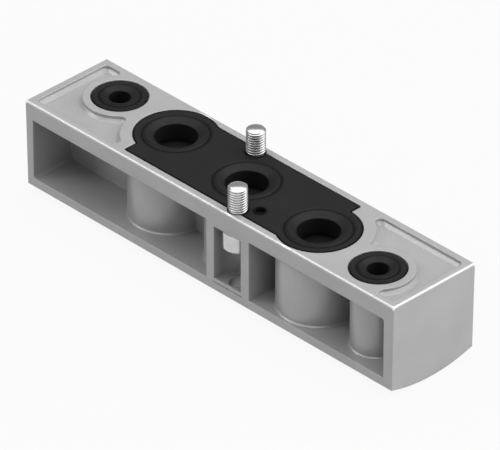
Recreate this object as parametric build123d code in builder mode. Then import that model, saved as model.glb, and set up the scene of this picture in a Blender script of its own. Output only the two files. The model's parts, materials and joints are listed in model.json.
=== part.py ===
"""Blanking plate that closes one spare station of a valve block, in millimetres.

The plate lies with its seals up. The origin is the middle of the sealing face, X runs
along the plate and +Z points away from it. The casting is the same after half a turn
about Z, apart from the two ends of the gasket's seat.
"""
import os
from math import cos, radians, sin, tan

from build123d import *

# Casting, outside
plate_length = 64.8
plate_width = 14.0
side_height = 12.15
arch_rise = 1.1
end_draft = 1.05
corner_round = 0.12
edge_round = 0.2

# Ports, on a row turned a little about the middle of the plate
row_turn = -4.86
large_port_reach = 13.8
small_port_reach = 24.98
large_port_radius = 3.25
small_port_radius = 1.9
port_depth = 3.23

# Seats for the gasket and the rings
rim_width = 1.0
seat_depth = 1.2
large_seat_radius = 5.47
small_seat_radius = 3.7
seat_left_reach = 15.7
seat_right_reach = 14.0
seat_corner_round = 0.4

# Shallow reliefs beside the seats
relief_depth = 0.8
relief_corner_round = 0.7
relief_floor_chamfer = 0.4
large_land_width = 1.55
small_land_width = 1.0

# Windows cored out of both sides
roof_thickness = 2.41
floor_thickness = 1.18
web_thickness = 1.15
left_end_wall = 1.33
right_end_wall = 1.64
first_rib_thickness = 1.31
second_rib_thickness = 1.4
window_corner_round = 0.35
column_foot_flare = 0.18

# Columns that carry the ports
large_column_radius = 5.3
small_column_radius = 3.38

# Screws and the pockets for their heads
screw_x = 3.87
screw_edge_distance = 1.68
thread_radius = 1.25
thread_start = 0.1
neck_radius = 1.05
bore_clearance = 0.07
screw_reach = 3.47
tip_chamfer = 0.31
head_radius = 1.9
head_height = 2.45
head_edge_chamfer = 0.22
head_side_gap = 0.18
socket_width = 2.0
socket_depth = 1.3
pocket_width = 4.74
pocket_shift = 0.14
pocket_roof_depth = 2.9
pocket_floor_depth = 10.7
sill_height = 0.2
sill_thickness = 0.35
tool_hole_radius = 1.12

# Fine slot in the side, under each screw pocket
slot_overlap = 0.27
slot_drop = 0.54
slot_height = 0.12
slot_depth = 0.25
notch_width = 0.34

# Gasket and rings, with a cup under each lip that lines its port
gasket_gap = 0.14
ring_gap = 0.2
gasket_proud = 0.02
ring_proud = 0.1
stud_gap = 0.1
cup_gap = 0.05
cup_floor = 0.4
dimple_x = 6.05
dimple_y = -3.65
dimple_radius = 0.68
dimple_depth = 0.5
dimple_rim = 0.2
dimple_rise = 0.08

# Sealing lips: the bore with its drop, the crest with its rise, the groove behind it and its edge
large_lip = {
    "bore": 2.72,
    "bore_drop": 0.43,
    "crest": 3.8,
    "rise": 0.1,
    "groove": 4.25,
    "drop": 0.2,
    "edge": 4.6,
}
small_lip = {
    "bore": 1.38,
    "bore_drop": 0.3,
    "crest": 2.25,
    "rise": 0.12,
    "groove": 2.62,
    "drop": 0.16,
    "edge": 2.95,
}
crest_width = 0.14
lip_border = 0.2
ring_edge_chamfer = 0.15

half_length = plate_length / 2
half_width = plate_width / 2
full_height = side_height + arch_rise
floor_level = floor_thickness - side_height
window_height = side_height - floor_thickness - roof_thickness
seat_half_width = half_width - rim_width
screw_y = screw_edge_distance - half_width
stud_bore_radius = thread_radius + bore_clearance
pocket_left = screw_x - pocket_shift - pocket_width / 2
pocket_right = pocket_left + pocket_width


def on_port_row(reach):
    return reach * cos(radians(row_turn)), reach * sin(radians(row_turn))


large_port = on_port_row(large_port_reach)
small_port = on_port_row(small_port_reach)


def upright(x, y, level=0):
    """Plane for the half section of a round form that stands on (x, y)."""
    return Plane(origin=(x, y, level), x_dir=(1, 0, 0), z_dir=(0, -1, 0))


def gasket_outline(gap):
    """Straight band with a round lobe about each outer port, inside its seat."""
    with BuildSketch() as outline:
        left = gap - seat_left_reach
        right = seat_right_reach - gap
        with Locations(((left + right) / 2, 0)):
            Rectangle(right - left, 2 * (seat_half_width - gap))
        with PolarLocations(0, 2):
            with Locations(large_port):
                Circle(large_seat_radius - gap)
        corners = outline.vertices().sort_by(lambda vertex: vertex.X + vertex.Y)
        fillet((corners[0], corners[-1]), seat_corner_round)
    return outline.sketch


def cup_section(lip, port_radius, outer, top):
    """Half section of the rubber at a port: one lip that stands proud and a cup below it."""
    cup_radius = port_radius - cup_gap
    with BuildSketch() as section:
        with BuildLine():
            Polyline(
                (0, -port_depth),
                (cup_radius, -port_depth),
                (cup_radius, -seat_depth),
                (outer, -seat_depth),
                (outer, top),
                (lip["edge"], top),
                (lip["groove"], top - lip["drop"]),
                (lip["crest"] + crest_width / 2, top + lip["rise"]),
                (lip["crest"] - crest_width / 2, top + lip["rise"]),
                (lip["bore"], top - lip["bore_drop"]),
                (lip["bore"], cup_floor - port_depth),
                (0, cup_floor - port_depth),
                close=True,
            )
        make_face()
    return section.sketch


# What half a turn repeats: the cores of one long side with the cuts around it
with BuildPart() as side_cores:
    spans = (
        (left_end_wall - half_length, pocket_left - first_rib_thickness),
        (pocket_right + second_rib_thickness, half_length - right_end_wall),
    )
    core_depth = half_width - web_thickness / 2
    for left, right in spans:
        with BuildSketch(Plane.XY.offset(floor_level)):
            with Locations(((left + right) / 2, -half_width)):
                Rectangle(right - left, 2 * core_depth)
        extrude(amount=window_height)
    ends = side_cores.edges().filter_by(Axis.Y).sort_by(Axis.X)
    fillet((ends[0:2].sort_by(Axis.Z)[0], ends[-2:].sort_by(Axis.Z)[-1]), window_corner_round)
    columns = (
        (-large_port[0], 0, large_column_radius),
        (0, 0, large_column_radius),
        (large_port[0], large_port[1], large_column_radius),
        (small_port[0], small_port[1], small_column_radius),
    )
    for x, y, radius in columns:
        with BuildSketch(upright(x, y, floor_level)):
            with BuildLine():
                Polyline(
                    (0, 0),
                    (radius + column_foot_flare, 0),
                    (radius, column_foot_flare),
                    (radius, window_height),
                    (0, window_height),
                    close=True,
                )
            make_face()
        revolve(axis=Axis((x, y, 0), (0, 0, 1)), mode=Mode.SUBTRACT)

with BuildPart() as screw_pocket:
    pocket_back = screw_y + head_radius + head_side_gap
    pocket_round = pocket_width / 2
    pocket_middle = pocket_left + pocket_round
    outward = (Align.CENTER, Align.MAX)
    for lift, sill in ((0, sill_thickness), (sill_height, 0)):
        with BuildSketch(Plane.XY.offset(lift - pocket_floor_depth)):
            with Locations((pocket_middle, pocket_back - pocket_round)):
                Circle(pocket_round)
                Rectangle(pocket_width, pocket_width, align=outward)
            with Locations((pocket_middle, sill - half_width)):
                Rectangle(pocket_width, pocket_width, align=outward, mode=Mode.SUBTRACT)
        extrude(amount=pocket_floor_depth - pocket_roof_depth - lift)
    with BuildSketch(Plane.XY.offset(-full_height)):
        with Locations((screw_x, screw_y)):
            Circle(tool_hole_radius)
    extrude(amount=full_height - pocket_floor_depth)
    with BuildSketch(Plane.XY.offset(-pocket_roof_depth)):
        with Locations((screw_x, screw_y)):
            Circle(stud_bore_radius)
    extrude(amount=pocket_roof_depth)
    with BuildSketch(Plane.XZ.offset(half_width)):
        with Locations((pocket_middle, -pocket_floor_depth + sill_height - slot_drop)):
            Rectangle(pocket_width + 2 * slot_overlap, slot_height)
            Rectangle(notch_width, 2 * slot_height)
    extrude(amount=-slot_depth)

with BuildPart() as relief:
    with BuildSketch(Plane.XY.offset(-relief_depth)):
        inner_right = half_length - rim_width - relief_corner_round
        inner_width = 2 * (seat_half_width - relief_corner_round)
        with Locations((large_port[0], 0)):
            Rectangle(inner_right - large_port[0], inner_width, align=(Align.MIN, Align.CENTER))
        with Locations(large_port):
            Circle(large_seat_radius + large_land_width + relief_corner_round, mode=Mode.SUBTRACT)
        with Locations(small_port):
            Circle(small_seat_radius + small_land_width + relief_corner_round, mode=Mode.SUBTRACT)
        with Locations((large_port[0], small_port[1])):
            between = small_port[0] - large_port[0]
            Rectangle(between, plate_width, align=(Align.MIN, Align.MAX), mode=Mode.SUBTRACT)
        offset(amount=relief_corner_round, kind=Kind.ARC)
    extrude(amount=relief_depth)
    chamfer(relief.faces().sort_by(Axis.Z)[0].edges(), relief_floor_chamfer)

with BuildPart() as plate_body:
    end_slope = full_height * tan(radians(end_draft))
    with BuildSketch(Plane.XZ):
        with BuildLine():
            Polyline(
                (-half_length, 0),
                (half_length, 0),
                (half_length - end_slope, -full_height),
                (end_slope - half_length, -full_height),
                close=True,
            )
        make_face()
    extrude(amount=half_width, both=True)
    with BuildSketch(Plane.YZ):
        with BuildLine():
            walls = Polyline(
                (half_width, -side_height),
                (half_width, 0),
                (-half_width, 0),
                (-half_width, -side_height),
            )
            ThreePointArc(walls @ 1, (0, -full_height), walls @ 0)
        make_face()
    extrude(amount=plate_length, both=True, mode=Mode.INTERSECT)
    fillet(plate_body.edges().filter_by(lambda edge: abs(edge.tangent_at(0).Z) > 0.5), corner_round)
    fillet(plate_body.faces().sort_by(Axis.Z)[-1].edges(), edge_round)
    with PolarLocations(0, 2):
        add(side_cores.part, mode=Mode.SUBTRACT)
        add(screw_pocket.part, mode=Mode.SUBTRACT)
        add(relief.part, mode=Mode.SUBTRACT)
    with BuildSketch(Plane.XY.offset(-seat_depth)):
        add(gasket_outline(0))
        with PolarLocations(0, 2):
            with Locations(small_port):
                Circle(small_seat_radius)
    extrude(amount=seat_depth, mode=Mode.SUBTRACT)
    with BuildSketch(Plane.XY.offset(-port_depth)):
        Circle(large_port_radius)
        with PolarLocations(0, 2):
            with Locations(large_port):
                Circle(large_port_radius)
            with Locations(small_port):
                Circle(small_port_radius)
    extrude(amount=port_depth, mode=Mode.SUBTRACT)
plate_body.part.label = "plate_body"

with BuildPart() as main_gasket:
    lip_outer = large_lip["edge"] + lip_border
    with BuildSketch(Plane.XY.offset(-seat_depth)):
        add(gasket_outline(gasket_gap))
        with PolarLocations(0, 2):
            with Locations(large_port):
                Circle(lip_outer, mode=Mode.SUBTRACT)
            with Locations((screw_x, screw_y)):
                Circle(thread_radius + stud_gap, mode=Mode.SUBTRACT)
        Circle(lip_outer, mode=Mode.SUBTRACT)
    extrude(amount=seat_depth + gasket_proud)
    with BuildSketch(Plane.XY.offset(gasket_proud)):
        with Locations((dimple_x, dimple_y)):
            Circle(dimple_radius + dimple_rim)
    extrude(amount=dimple_rise)
    with BuildSketch(Plane.XY.offset(gasket_proud - dimple_depth)):
        with Locations((dimple_x, dimple_y)):
            Circle(dimple_radius)
    extrude(amount=dimple_depth + dimple_rise, mode=Mode.SUBTRACT)
    for x, y in ((0, 0), large_port, (-large_port[0], -large_port[1])):
        with BuildSketch(upright(x, y)):
            add(cup_section(large_lip, large_port_radius, lip_outer, gasket_proud))
        revolve(axis=Axis((x, y, 0), (0, 0, 1)))
main_gasket.part.label = "main_gasket"


def port_ring(x, y):
    with BuildPart() as ring:
        with BuildSketch(upright(x, y)):
            add(cup_section(small_lip, small_port_radius, small_seat_radius - ring_gap, ring_proud))
        revolve(axis=Axis((x, y, 0), (0, 0, 1)))
        outer_edges = ring.edges().filter_by(GeomType.CIRCLE).sort_by(SortBy.RADIUS)[-2:]
        chamfer(outer_edges.sort_by(Axis.Z)[-1], ring_edge_chamfer)
    return ring


def captive_screw(x, y):
    """Socket head screw: its head bears on the pocket's roof, and its thread starts above the seal."""
    head_bottom = -pocket_roof_depth - head_height
    with BuildPart() as screw:
        with BuildSketch(Plane.XY.offset(head_bottom)):
            with Locations((x, y)):
                Circle(head_radius)
        extrude(amount=head_height)
        with BuildSketch(Plane.XY.offset(-pocket_roof_depth)):
            with Locations((x, y)):
                Circle(neck_radius)
        extrude(amount=pocket_roof_depth + thread_start)
        with BuildSketch(Plane.XY.offset(thread_start)):
            with Locations((x, y)):
                Circle(thread_radius)
        extrude(amount=screw_reach - thread_start)
        rims = screw.edges().filter_by(GeomType.CIRCLE).sort_by(Axis.Z)
        chamfer(rims[0], head_edge_chamfer)
        chamfer(rims[-1], tip_chamfer)
        with BuildSketch(Plane.XY.offset(head_bottom)):
            with Locations((x, y)):
                RegularPolygon(socket_width / 2, 6, major_radius=False)
        extrude(amount=socket_depth, mode=Mode.SUBTRACT)
    return screw


right_ring = port_ring(*small_port)
right_ring.part.label = "right_port_ring"

left_ring = port_ring(-small_port[0], -small_port[1])
left_ring.part.label = "left_port_ring"

front_screw = captive_screw(screw_x, screw_y)
front_screw.part.label = "front_screw"

back_screw = captive_screw(-screw_x, -screw_y)
back_screw.part.label = "back_screw"

os.makedirs("parts", exist_ok=True)
for piece in (plate_body, main_gasket, right_ring, left_ring, front_screw, back_screw):
    export_step(piece.part, f"parts/{piece.part.label}.step")
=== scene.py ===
import json
import math
import bpy
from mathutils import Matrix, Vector


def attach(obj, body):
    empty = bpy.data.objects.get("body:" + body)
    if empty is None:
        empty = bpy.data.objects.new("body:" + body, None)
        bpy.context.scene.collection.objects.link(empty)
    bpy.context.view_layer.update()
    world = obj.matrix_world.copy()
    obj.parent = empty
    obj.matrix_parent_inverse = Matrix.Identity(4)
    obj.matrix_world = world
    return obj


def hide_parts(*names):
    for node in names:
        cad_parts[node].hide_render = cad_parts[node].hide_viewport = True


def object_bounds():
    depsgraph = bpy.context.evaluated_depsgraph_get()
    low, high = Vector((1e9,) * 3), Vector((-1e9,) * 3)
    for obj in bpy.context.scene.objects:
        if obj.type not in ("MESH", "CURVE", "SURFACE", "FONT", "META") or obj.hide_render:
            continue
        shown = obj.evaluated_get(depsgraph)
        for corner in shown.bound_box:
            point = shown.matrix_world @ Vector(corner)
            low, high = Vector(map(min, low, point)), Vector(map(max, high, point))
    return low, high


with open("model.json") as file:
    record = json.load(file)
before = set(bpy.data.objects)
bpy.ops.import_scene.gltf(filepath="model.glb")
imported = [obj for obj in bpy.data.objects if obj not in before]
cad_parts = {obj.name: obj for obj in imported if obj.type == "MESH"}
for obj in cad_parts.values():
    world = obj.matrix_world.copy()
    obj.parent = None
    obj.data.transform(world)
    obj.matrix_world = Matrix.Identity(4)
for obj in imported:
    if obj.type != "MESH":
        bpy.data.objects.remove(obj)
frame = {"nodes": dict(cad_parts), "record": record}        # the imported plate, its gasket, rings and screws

mm = 0.001
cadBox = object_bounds()
bpy.ops.object.select_all(action="DESELECT")
print("frame loaded:", sorted(frame["nodes"]))


# Small helpers for the materials

noiseMiddle = (0.3, 0.7)                             # a noise's values that are spread to a whole range
raySamples = {"closeness": 20, "softEdge": 12}


def newMaterial(name):
    material = bpy.data.materials.new(name)
    material.use_nodes = True
    tree = material.node_tree
    return material, tree, tree.nodes["Principled BSDF"]


def objectCoords(tree):
    return tree.nodes.new("ShaderNodeTexCoord").outputs["Object"]


def addNoise(tree, coords, scale, detail):
    noise = tree.nodes.new("ShaderNodeTexNoise")
    noise.inputs["Scale"].default_value = scale
    noise.inputs["Detail"].default_value = detail
    tree.links.new(coords, noise.inputs["Vector"])
    return noise.outputs["Fac"]


def addStep(tree, value, start, end, low=0.0, high=1.0, curve="LINEAR"):
    # the value's stretch from start to end becomes low to high, and stays there beyond
    step = tree.nodes.new("ShaderNodeMapRange")
    step.interpolation_type = curve
    step.inputs["From Min"].default_value = start
    step.inputs["From Max"].default_value = end
    step.inputs["To Min"].default_value = low
    step.inputs["To Max"].default_value = high
    tree.links.new(value, step.inputs["Value"])
    return step.outputs["Result"]


def addGreys(tree, noise, dark, light):
    ramp = tree.nodes.new("ShaderNodeValToRGB")
    for stop, position, grey in zip(ramp.color_ramp.elements, noiseMiddle, (dark, light)):
        stop.position = position
        stop.color = (grey, grey, grey, 1)
    tree.links.new(noise, ramp.inputs["Fac"])
    return ramp.outputs["Color"]


def addMath(tree, operation, first, second=0.0):
    # each input is a number or another node's output
    node = tree.nodes.new("ShaderNodeMath")
    node.operation = operation
    for value, socket in ((first, node.inputs[0]), (second, node.inputs[1])):
        if isinstance(value, float):
            socket.default_value = value
        else:
            tree.links.new(value, socket)
    return node.outputs["Value"]


def addMix(tree, share, first, second):
    # each end is a number or another node's output
    mix = tree.nodes.new("ShaderNodeMix")
    tree.links.new(share, mix.inputs["Factor"])
    for value, socket in ((first, mix.inputs["A"]), (second, mix.inputs["B"])):
        if isinstance(value, float):
            socket.default_value = value
        else:
            tree.links.new(value, socket)
    return mix.outputs["Result"]


def addCloseness(tree, distance, inside, start, full):
    # 0 on open surface, up to 1 by an edge, felt from inside the piece, or a groove, from outside
    reach = tree.nodes.new("ShaderNodeAmbientOcclusion")
    reach.inside = inside
    reach.only_local = True
    reach.samples = raySamples["closeness"]
    reach.inputs["Distance"].default_value = distance
    return addStep(tree, reach.outputs["AO"], start, full)


def addSurface(tree, shader, height, depth, edgeRadius=None):
    # fine grain, over softened edges where a radius is given
    bump = tree.nodes.new("ShaderNodeBump")
    bump.inputs["Distance"].default_value = depth
    tree.links.new(height, bump.inputs["Height"])
    if edgeRadius:
        edges = tree.nodes.new("ShaderNodeBevel")
        edges.samples = raySamples["softEdge"]
        edges.inputs["Radius"].default_value = edgeRadius
        tree.links.new(edges.outputs["Normal"], bump.inputs["Normal"])
    tree.links.new(bump.outputs["Normal"], shader.inputs["Normal"])


# Blasted casting, with the outer rim of the seal side rubbed bright and painted lighter there as a highlight
# along its edges

castMetal = {
    # the worn grey of 0.9 is a painted highlight: the rubbed edge's colour is raised near white to stand in
    # for its glint
    "dark": 0.34, "light": 0.38, "greyWornPaintedHighlight": 0.9,
    "roughLow": 0.33, "roughHigh": 0.39, "roughWorn": 0.25,
    "metallic": 0.28, "metallicWorn": 1.0,
    "cloudScale": 160, "cloudDetail": 4,
    "grainScale": 5200, "grainDetail": 2, "grainDepth": 0.008 * mm,
    "edgeRadius": 0.18 * mm,
    "halfLength": 32.4 * mm, "halfWidth": 7.0 * mm,  # of the rim
    "rimWidth": 0.5 * mm, "rimFull": 0.35 * mm,      # how far in and down the wear and its painted highlight are let in, and whole
    "wearWidth": 0.36 * mm,                          # of the bright line along an edge
    "wearStart": 0.95, "wearFull": 0.6,              # openness where it starts, and is full
}


def addRimWearAndHighlight(tree, coords, v=castMetal):
    # 1 where the rim of the seal side is rubbed and painted lighter as a highlight, 0 elsewhere
    place = tree.nodes.new("ShaderNodeSeparateXYZ")
    tree.links.new(coords, place.inputs["Vector"])
    gaps = []
    for axis, half in (("X", v["halfLength"]), ("Y", v["halfWidth"])):
        fromMiddle = addMath(tree, "ABSOLUTE", place.outputs[axis])
        gaps.append(addMath(tree, "SUBTRACT", fromMiddle, half))
    outer = addStep(tree, addMath(tree, "MAXIMUM", *gaps), -v["rimWidth"], -v["rimFull"])
    high = addStep(tree, place.outputs["Z"], -v["rimWidth"], -v["rimFull"])
    edges = addCloseness(tree, v["wearWidth"], True, v["wearStart"], v["wearFull"])
    return addMath(tree, "MULTIPLY", edges, addMath(tree, "MULTIPLY", outer, high))


def makeCastMetal(v=castMetal):
    material, tree, shader = newMaterial("blastedCasting")
    coords = objectCoords(tree)
    clouds = addNoise(tree, coords, v["cloudScale"], v["cloudDetail"])
    grain = addNoise(tree, coords, v["grainScale"], v["grainDetail"])
    wearAndHighlight = addRimWearAndHighlight(tree, coords)
    grey = addGreys(tree, clouds, v["dark"], v["light"])
    rough = addStep(tree, grain, *noiseMiddle, v["roughLow"], v["roughHigh"])
    metallic = addMix(tree, wearAndHighlight, v["metallic"], v["metallicWorn"])
    # along the rubbed rim the base grey goes near white, a painted highlight, while roughness and metallic
    # follow the real wear
    tree.links.new(addMix(tree, wearAndHighlight, grey, v["greyWornPaintedHighlight"]), shader.inputs["Base Color"])
    tree.links.new(addMix(tree, wearAndHighlight, rough, v["roughWorn"]), shader.inputs["Roughness"])
    tree.links.new(metallic, shader.inputs["Metallic"])
    addSurface(tree, shader, grain, v["grainDepth"], v["edgeRadius"])
    return material


# Moulded rubber, duller at its sharp edges and in its grooves, where painted shade also darkens it

blackRubber = {
    # the dull grey of 0.002 is painted shade, darkening the rubber at its edges and in its grooves
    "dark": 0.008, "light": 0.010, "greyDullPaintedShade": 0.002,
    "roughLow": 0.42, "roughHigh": 0.5, "roughDull": 0.9,
    "specular": 0.16,
    "cloudScale": 220, "cloudDetail": 3,
    "grainScale": 4200, "grainDetail": 2, "grainDepth": 0.003 * mm,
    "edgeRadius": 0.06 * mm,
    "edgeWidth": 0.22 * mm,                          # of the dull line along an edge, darkened as painted shade
    "edgeStart": 0.97, "edgeFull": 0.8,              # openness where it starts, and is full
    "grooveWidth": 0.8 * mm,                         # and the same for a groove
    "grooveStart": 0.94, "grooveFull": 0.68,
}


def makeBlackRubber(v=blackRubber):
    material, tree, shader = newMaterial("mouldedRubber")
    coords = objectCoords(tree)
    clouds = addNoise(tree, coords, v["cloudScale"], v["cloudDetail"])
    grain = addNoise(tree, coords, v["grainScale"], v["grainDetail"])
    edges = addCloseness(tree, v["edgeWidth"], True, v["edgeStart"], v["edgeFull"])
    grooveShade = addCloseness(tree, v["grooveWidth"], False, v["grooveStart"], v["grooveFull"])
    dullAndShaded = addMath(tree, "MAXIMUM", edges, grooveShade)
    grey = addGreys(tree, clouds, v["dark"], v["light"])
    rough = addStep(tree, grain, *noiseMiddle, v["roughLow"], v["roughHigh"])
    # the base grey goes darker at the edges and in the grooves: painted shade
    tree.links.new(addMix(tree, dullAndShaded, grey, v["greyDullPaintedShade"]), shader.inputs["Base Color"])
    tree.links.new(addMix(tree, dullAndShaded, rough, v["roughDull"]), shader.inputs["Roughness"])
    shader.inputs["Specular IOR Level"].default_value = v["specular"]
    addSurface(tree, shader, grain, v["grainDepth"], v["edgeRadius"])
    return material


# Bright plated steel of the screws

platedSteel = {
    "dark": 0.53, "light": 0.59,
    "roughLow": 0.21, "roughHigh": 0.25,
    "metallic": 0.85,
    "cloudScale": 900, "cloudDetail": 3,
    "grainScale": 9000, "grainDetail": 2, "grainDepth": 0.0001 * mm,
}


def makePlatedSteel(v=platedSteel):
    material, tree, shader = newMaterial("brightPlatedSteel")
    coords = objectCoords(tree)
    clouds = addNoise(tree, coords, v["cloudScale"], v["cloudDetail"])
    grain = addNoise(tree, coords, v["grainScale"], v["grainDetail"])
    rough = addStep(tree, grain, *noiseMiddle, v["roughLow"], v["roughHigh"])
    tree.links.new(addGreys(tree, clouds, v["dark"], v["light"]), shader.inputs["Base Color"])
    tree.links.new(rough, shader.inputs["Roughness"])
    shader.inputs["Metallic"].default_value = v["metallic"]
    addSurface(tree, shader, grain, v["grainDepth"])
    return material


finishes = {
    "cast_metal": makeCastMetal(),
    "black_rubber": makeBlackRubber(),
    "plated_steel": makePlatedSteel(),
}
for part in frame["record"]["subparts"]:
    node = frame["nodes"][part["node"]]
    node.data.materials.clear()
    node.data.materials.append(finishes[part["material_slot"]])
print("materials done")


# Screws: head with its hexagon socket, plain neck and a rolled thread, all one piece

screw = {                                            # millimetres
    "place": (3.87, -5.32),                          # the front one's axis, the back one is opposite
    "headRadius": 1.9, "headLow": -5.35, "headHigh": -2.9,
    "headEdge": 0.22, "headEdgeSteps": 4,
    "socketRadius": 1.155, "socketDepth": 1.3, "socketSides": 6,
    "neckRadius": 1.05,
    "threadLow": 0.1, "tip": 3.47,
    "crestRadius": 1.25, "threadDepth": 0.19, "pitch": 0.35,
    "rootShare": 1 / 4, "flankShare": 5 / 16, "crestShare": 1 / 8,      # of the pitch
    "tipRadius": 0.93, "tipEdge": 0.22,
    "steps": 72,                                     # round the axis
    "smoothAngle": 32,                               # degrees
}
allowance = {                                        # millimetres
    "turnsBelow": 1.5, "spareTurns": 3,              # of the thread, before it is cut to length
    "aboveTip": 0.1, "pastCrests": 0.05, "pastEnd": 0.5,        # room round what is cut away
    "neckInHead": 0.2, "neckInThread": 0.1,          # how far the neck is sunk in
    "weld": 0.002, "planeSlack": 0.0001, "levelSlack": 0.01,    # distances that count as none
}


def editMesh(selection):
    bpy.ops.object.mode_set(mode="EDIT")
    bpy.ops.mesh.select_all(action=selection)


def leaveMesh():
    bpy.ops.object.mode_set(mode="OBJECT")


def pickRing(piece, level):
    # edges that lie at one height
    editMesh("DESELECT")
    bpy.ops.mesh.select_mode(type="EDGE")
    leaveMesh()
    points = piece.data.vertices
    for edge in piece.data.edges:
        gaps = [abs(points[index].co.z - level * mm) for index in edge.vertices]
        edge.select = max(gaps) < allowance["levelSlack"] * mm
    bpy.ops.object.mode_set(mode="EDIT")


def addCylinder(name, radius, low, high, sides):
    bpy.ops.mesh.primitive_cylinder_add(
        vertices=sides, radius=radius * mm, depth=(high - low) * mm,
        location=(0, 0, (low + high) / 2 * mm))
    bpy.ops.object.transform_apply(location=True, rotation=True, scale=True)
    bpy.context.object.name = name
    return bpy.context.object


def useModifier(piece, kind, **settings):
    bpy.ops.object.select_all(action="DESELECT")
    bpy.context.view_layer.objects.active = piece
    piece.select_set(True)
    modifier = piece.modifiers.new(kind.title(), kind)
    for name, value in settings.items():
        setattr(modifier, name, value)
    bpy.ops.object.modifier_apply(modifier=modifier.name)


def combine(piece, other, operation):
    useModifier(piece, "BOOLEAN", object=other, operation=operation, solver="EXACT")
    bpy.data.objects.remove(other)


def sweepThread(v=screw, a=allowance):
    # a zigzag of roots, flanks and crests, swept one turn while it climbs one pitch
    pitch, depth = v["pitch"] * mm, v["threadDepth"] * mm
    root, flank, crest = [pitch * v[share] for share in ("rootShare", "flankShare", "crestShare")]
    climb = ((0, root), (depth, flank), (0, crest), (-depth, flank))
    turns = int((v["tip"] - v["threadLow"]) / v["pitch"]) + a["spareTurns"]
    low = (v["threadLow"] - a["turnsBelow"] * v["pitch"]) * mm
    bpy.ops.mesh.primitive_plane_add(size=pitch)
    thread = bpy.context.object
    bpy.ops.object.mode_set(mode="EDIT")
    bpy.ops.mesh.select_mode(type="VERT")
    bpy.ops.mesh.merge(type="CENTER")
    bpy.ops.transform.translate(value=(v["crestRadius"] * mm - depth, 0, low))
    for turn in range(turns):
        for out, up in climb:
            bpy.ops.mesh.extrude_region_move(TRANSFORM_OT_translate={"value": (out, 0, up)})
    leaveMesh()
    useModifier(thread, "SCREW", steps=v["steps"], render_steps=v["steps"], screw_offset=pitch)
    editMesh("SELECT")
    bpy.ops.mesh.remove_doubles(threshold=a["weld"] * mm)
    leaveMesh()
    return thread


def cutLevel(level, below):
    # cuts the mesh in edit mode off at a level and closes it, and drops what is below, or above
    bpy.ops.mesh.select_all(action="SELECT")
    bpy.ops.mesh.bisect(
        plane_co=(0, 0, level * mm), plane_no=(0, 0, 1), threshold=allowance["planeSlack"] * mm,
        use_fill=True, clear_inner=below, clear_outer=not below)


def makeTipForm(v=screw, a=allowance):
    # a rod just wider than the crests, ending in the cone that the thread's tip is cut to
    radius, shoulder = v["crestRadius"] + a["pastCrests"], v["tip"] - v["tipEdge"]
    tipForm = addCylinder("tipForm", radius, v["threadLow"] - a["pastEnd"], shoulder, v["steps"])
    pickRing(tipForm, shoulder)
    bpy.ops.mesh.select_mode(type="FACE")
    bpy.ops.mesh.extrude_region_move(
        TRANSFORM_OT_translate={"value": (0, 0, v["tipEdge"] * mm)})
    narrowing = v["tipRadius"] / radius
    bpy.ops.transform.resize(
        value=(narrowing, narrowing, 1), center_override=(0, 0, v["tip"] * mm))
    leaveMesh()
    return tipForm


def makeThread(v=screw, a=allowance):
    thread = sweepThread()
    bpy.ops.object.mode_set(mode="EDIT")
    cutLevel(v["threadLow"], below=True)
    cutLevel(v["tip"] + a["aboveTip"], below=False)
    bpy.ops.mesh.select_all(action="SELECT")
    bpy.ops.mesh.normals_make_consistent(inside=False)
    leaveMesh()
    combine(thread, makeTipForm(), "INTERSECT")
    return thread


def makeHead(v=screw, a=allowance):
    head = addCylinder("screwHead", v["headRadius"], v["headLow"], v["headHigh"], v["steps"])
    pickRing(head, v["headLow"])
    bpy.ops.mesh.bevel(offset=v["headEdge"] * mm, segments=v["headEdgeSteps"])
    leaveMesh()
    mouth, floor = v["headLow"] - a["pastEnd"], v["headLow"] + v["socketDepth"]
    socket = addCylinder("socket", v["socketRadius"], mouth, floor, v["socketSides"])
    combine(head, socket, "DIFFERENCE")
    return head


def makeScrew(v=screw, a=allowance):
    thread = makeThread()
    whole = makeHead()
    low, high = v["headHigh"] - a["neckInHead"], v["threadLow"] + a["neckInThread"]
    combine(whole, addCylinder("screwNeck", v["neckRadius"], low, high, v["steps"]), "UNION")
    combine(whole, thread, "UNION")
    editMesh("SELECT")
    bpy.ops.transform.translate(value=(v["place"][0] * mm, v["place"][1] * mm, 0))
    leaveMesh()
    bpy.ops.object.shade_smooth_by_angle(angle=math.radians(v["smoothAngle"]))
    return whole


def makeOppositeScrew(front):
    # a copy, turned half a turn about the plate's middle
    bpy.ops.object.select_all(action="DESELECT")
    front.select_set(True)
    bpy.ops.object.duplicate()
    editMesh("SELECT")
    bpy.ops.transform.rotate(value=math.pi, orient_axis="Z", center_override=(0, 0, 0))
    leaveMesh()
    return bpy.context.object


def finishPiece(piece, name, node, slot):
    piece.name = name
    piece.data.name = name
    piece.data.materials.clear()
    piece.data.materials.append(finishes[slot])
    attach(piece, "root")
    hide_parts(node)


frontScrew = makeScrew()
backScrew = makeOppositeScrew(frontScrew)
finishPiece(frontScrew, "frontThreadedScrew", "front_screw", "plated_steel")
finishPiece(backScrew, "backThreadedScrew", "back_screw", "plated_steel")
print("screws done")


# Studio: a pale floor under the arched side, white all round, soft lamps

studio = {
    "floorSize": 6.0,                                # metres
    "floorGrey": 0.4, "floorRough": 0.9,
    "floorGlow": 0.92,                               # share of plain white where the camera sees it
    "skyLow": 1.0, "skyHigh": 0.2, "skyFade": 0.16,  # white at the horizon, dimmer overhead
}
lamps = {
    # azimuth and elevation in degrees, distance, width and height in metres, power in watts
    "endLamp": (10, 14, 1.3, 1.2, 0.8, 5.9),
    "endRimLamp": (36, 15, 1.3, 0.8, 0.8, 2.7),
    "endEdgeLamp": (47, 37, 0.4, 0.5, 0.5, 0.85),
    "overheadLamp": (135, 84, 1.3, 2.0, 2.0, 25.5),
    "frontEdgeLamp": (222, 36, 1.3, 0.5, 0.5, 3.4),
    "fillLamp": (316, 57, 1.3, 1.0, 0.5, 1.4),
    "frontLamp": (235, 10, 1.3, 1.4, 1.0, 1.4),
}


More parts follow.
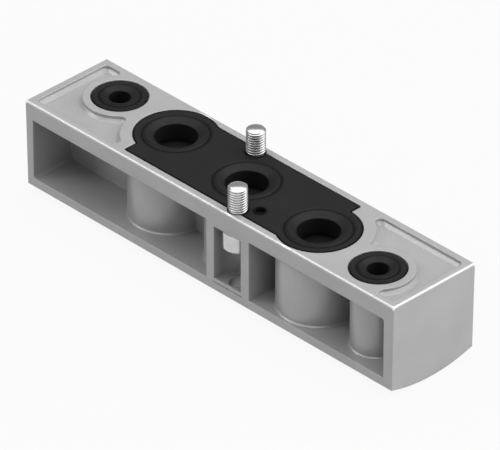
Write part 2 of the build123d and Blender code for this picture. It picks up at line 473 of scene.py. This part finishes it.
def makeWorld(v=studio):
    world = bpy.data.worlds.new("studioWorld")
    bpy.context.scene.world = world
    world.use_nodes = True
    tree = world.node_tree
    background = tree.nodes["Background"]
    around = tree.nodes.new("ShaderNodeTexCoord").outputs["Generated"]
    heading = tree.nodes.new("ShaderNodeSeparateXYZ")
    tree.links.new(around, heading.inputs["Vector"])
    height, levels = heading.outputs["Z"], (v["skyLow"], v["skyHigh"])
    sky = addStep(tree, height, 0.0, v["skyFade"], *levels, curve="SMOOTHSTEP")
    tree.links.new(sky, background.inputs["Strength"])
    background.inputs["Color"].default_value = (1, 1, 1, 1)


def seenDirectly(tree):
    # 1 where the floor is looked at, also by way of metal or glass, 0 where it lights the plate
    path = tree.nodes.new("ShaderNodeLightPath").outputs
    seen = addMath(tree, "MAXIMUM", path["Is Camera Ray"], path["Is Glossy Ray"])
    return addMath(tree, "MAXIMUM", seen, path["Is Transmission Ray"])


def makeFloor(v=studio):
    bpy.ops.mesh.primitive_plane_add(size=v["floorSize"], location=(0, 0, cadBox[0].z))
    floor = bpy.context.object
    floor.name = "studioFloor"
    material, tree, shader = newMaterial("paleFloor")
    shader.inputs["Base Color"].default_value = (v["floorGrey"],) * 3 + (1,)
    shader.inputs["Roughness"].default_value = v["floorRough"]
    white = tree.nodes.new("ShaderNodeEmission")
    mix = tree.nodes.new("ShaderNodeMixShader")
    share = addMath(tree, "MULTIPLY", seenDirectly(tree), v["floorGlow"])
    tree.links.new(share, mix.inputs["Fac"])
    tree.links.new(shader.outputs["BSDF"], mix.inputs[1])
    tree.links.new(white.outputs["Emission"], mix.inputs[2])
    tree.links.new(mix.outputs["Shader"], tree.nodes["Material Output"].inputs["Surface"])
    material.cycles.emission_sampling = "NONE"
    floor.data.materials.append(material)


def addLamp(name, azimuth, elevation, distance, width, height, power):
    around, up = math.radians(azimuth), math.radians(elevation)
    flat = math.cos(up)
    heading = Vector((flat * math.cos(around), flat * math.sin(around), math.sin(up)))
    bpy.ops.object.light_add(type="AREA", location=heading * distance)
    lamp = bpy.context.object
    lamp.name = name
    lamp.data.energy = power
    lamp.data.shape = "RECTANGLE"
    lamp.data.size = width
    lamp.data.size_y = height
    lamp.rotation_euler = heading.to_track_quat("Z", "Y").to_euler()


makeWorld()
makeFloor()
for name, settings in lamps.items():
    addLamp(name, *settings)
print("studio done")


# Camera at the photograph's angle

shot = {
    "azimuth": 45.742, "elevation": 33.370,          # degrees, from the plate's own axes
    "distance": 1012.1 * mm,
    "aim": (2.413 * mm, -1.820 * mm, -4.589 * mm),
    "focal": 593.8, "sensor": 36,                    # millimetres
    "clipNear": 0.1, "clipFar": 10,                  # metres
}


def makeCamera(v=shot):
    around, up = math.radians(v["azimuth"]), math.radians(v["elevation"])
    flat = math.cos(up)
    back = Vector((flat * math.sin(around), -flat * math.cos(around), math.sin(up)))
    bpy.ops.object.camera_add(location=Vector(v["aim"]) + back * v["distance"])
    camera = bpy.context.object
    camera.name = "photoCamera"
    camera.rotation_euler = (-back).to_track_quat("-Z", "Y").to_euler()
    camera.data.sensor_width = v["sensor"]
    camera.data.lens = v["focal"]
    camera.data.clip_start = v["clipNear"]
    camera.data.clip_end = v["clipFar"]
    bpy.context.scene.camera = camera


makeCamera()
bpy.context.scene.view_settings.view_transform = "Standard"
print("camera done")
